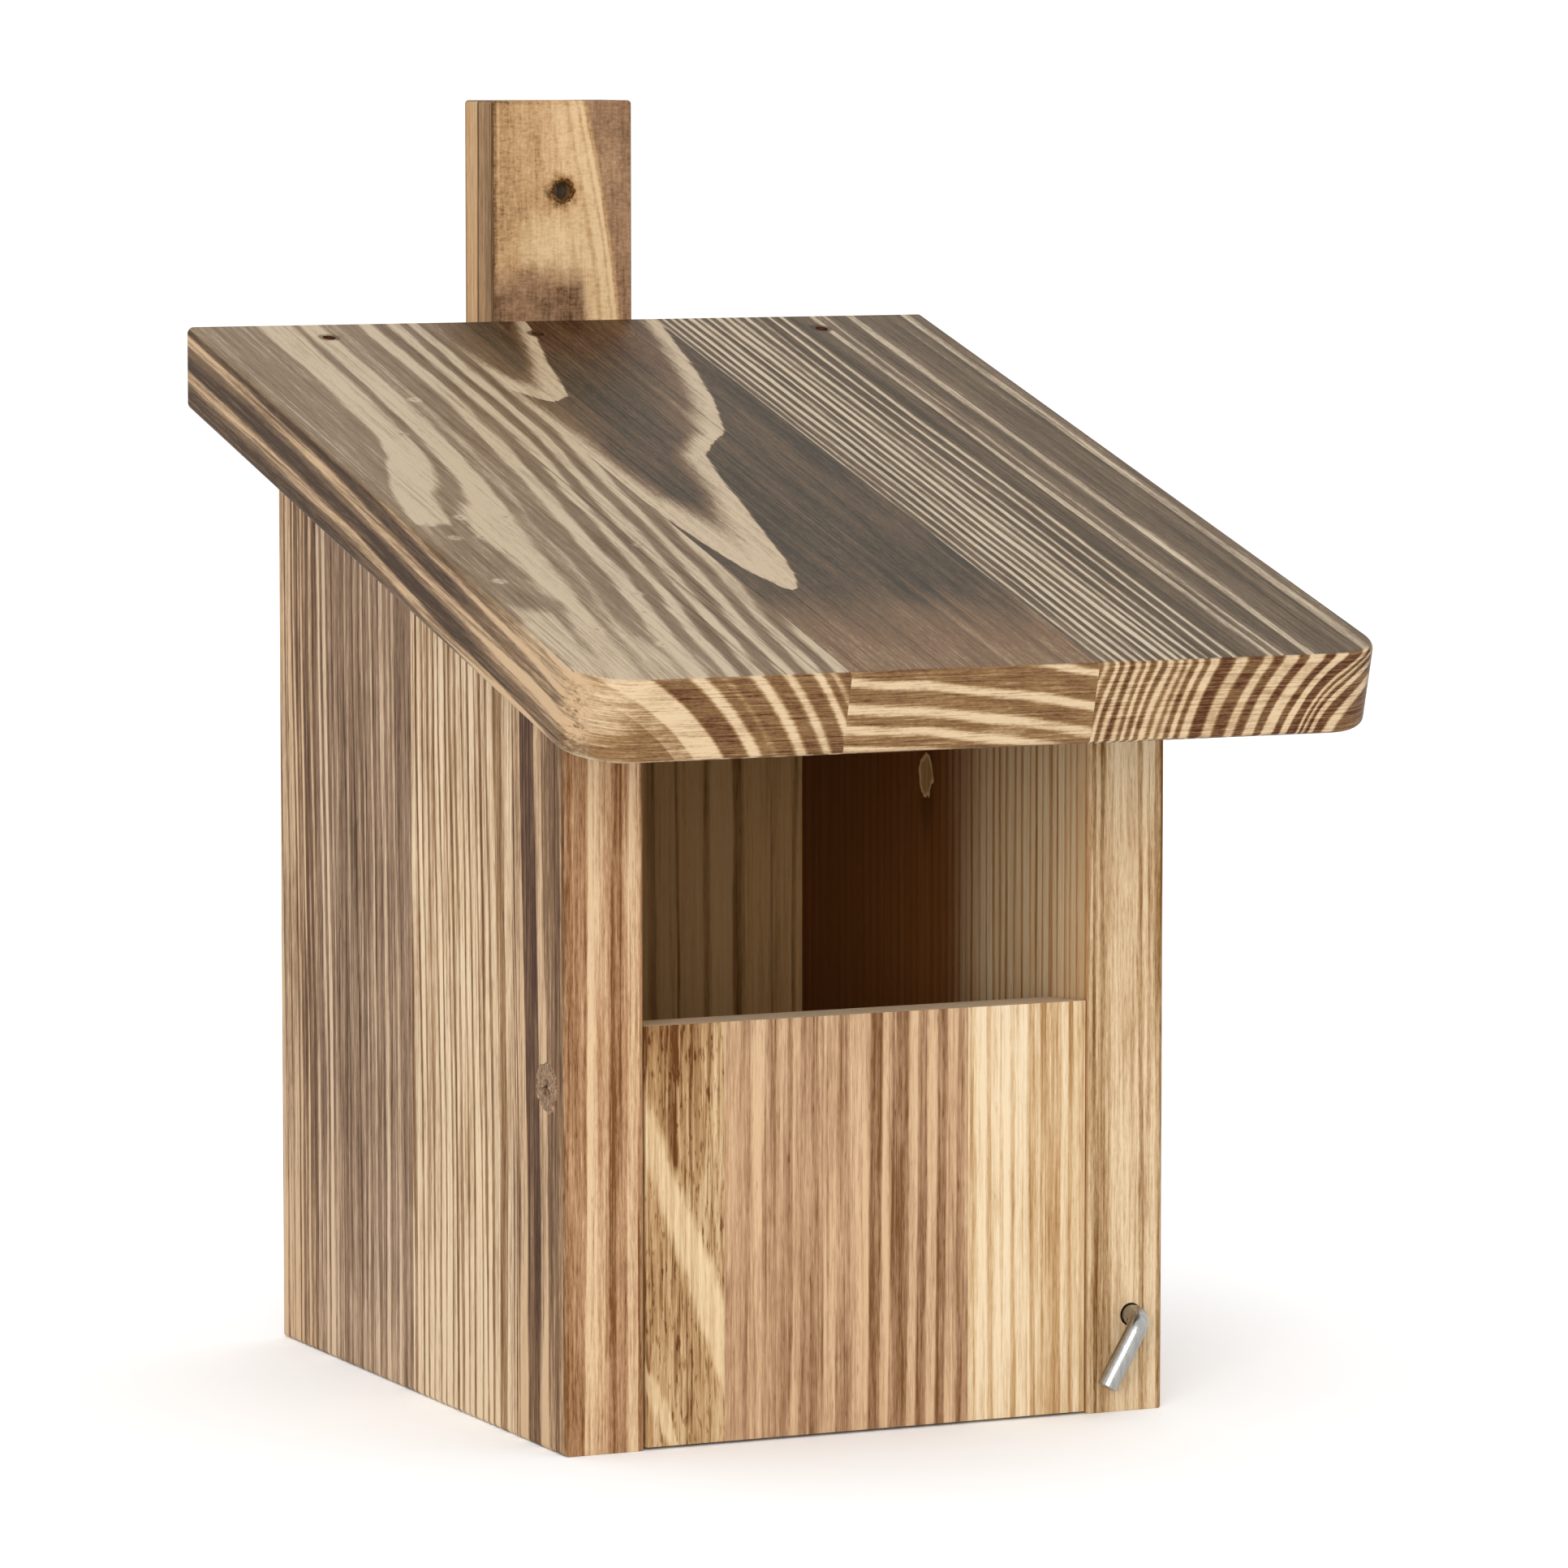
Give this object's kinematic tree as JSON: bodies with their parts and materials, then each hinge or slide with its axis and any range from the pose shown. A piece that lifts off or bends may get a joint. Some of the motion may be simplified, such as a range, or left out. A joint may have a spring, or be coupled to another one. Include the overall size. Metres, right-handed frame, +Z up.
{
  "type": "bird nest box",
  "caption": "Half-open nest box of flame-treated boards: sloped overhanging roof, front panel hinged on side screws, wire latch and a lath to hang it by.",
  "frame": {"origin": "centre of the bounding box's underside, on the plane the box stands on", "axes": "+Z up, +Y from the open front towards the lath at the back, +X to the right as seen from the front"},
  "size_m": [0.18, 0.2398, 0.276],
  "materials": {
    "side_left_wood_1": "flame-treated and brushed, softwood glued board",
    "side_left_wood_2": "flame-treated and brushed, softwood glued board",
    "side_left_wood_3": "flame-treated and brushed, softwood glued board",
    "side_left_wood_4": "flame-treated and brushed, softwood glued board",
    "side_right_wood_1": "flame-treated and brushed, softwood glued board",
    "side_right_wood_2": "flame-treated and brushed, softwood glued board",
    "side_right_wood_3": "flame-treated and brushed, softwood glued board",
    "side_right_wood_4": "flame-treated and brushed, softwood glued board",
    "back_wood": "flame-treated and brushed, softwood glued board",
    "floor_wood": "flame-treated and brushed, softwood glued board",
    "front_left_wood": "flame-treated and brushed, softwood glued board",
    "front_centre_wood": "flame-treated and brushed, softwood glued board",
    "front_right_wood": "flame-treated and brushed, softwood glued board",
    "roof_left_wood": "flame-treated and brushed, softwood glued board",
    "roof_centre_wood": "flame-treated and brushed, softwood glued board",
    "roof_right_wood": "flame-treated and brushed, softwood glued board",
    "lath_wood": "flame-treated and brushed, softwood glued board",
    "latch_steel": "bright zinc-plated wire",
    "pivot_steel": "dulled, sunk below the wood",
    "screw_steel": "zinc plated",
    "nail_steel": "darkened by the flame treatment"
  },
  "bodies": {
    "box": {"side_left_lamella_1": "side_left_wood_1", "side_left_lamella_2": "side_left_wood_2", "side_left_lamella_3": "side_left_wood_3", "side_left_lamella_4": "side_left_wood_4", "side_right_lamella_1": "side_right_wood_1", "side_right_lamella_2": "side_right_wood_2", "side_right_lamella_3": "side_right_wood_3", "side_right_lamella_4": "side_right_wood_4", "back_panel": "back_wood", "floor_panel": "floor_wood", "roof_plank_left": "roof_left_wood", "roof_plank_centre": "roof_centre_wood", "roof_plank_right": "roof_right_wood", "hanging_lath": "lath_wood", "pivot_screws": "pivot_steel", "lath_screws": "screw_steel", "roof_nails": "nail_steel"},
    "front_panel": {"front_lamella_left": "front_left_wood", "front_lamella_centre": "front_centre_wood", "front_lamella_right": "front_right_wood"},
    "latch": {"latch_hook": "latch_steel"}
  },
  "joints": [
    {"name": "front_panel_hinge", "type": "hinge", "parent": "box", "child": "front_panel", "pos_m": [0, -0.0501, 0.0756], "axis": [-1, 0, 0], "range_deg": [0, 110]},
    {"name": "latch_turn", "type": "hinge", "parent": "box", "child": "latch", "pos_m": [0.0615, -0.0591, 0.0206], "axis": [0, 1, 0], "range_deg": [-30, 60]}
  ]
}
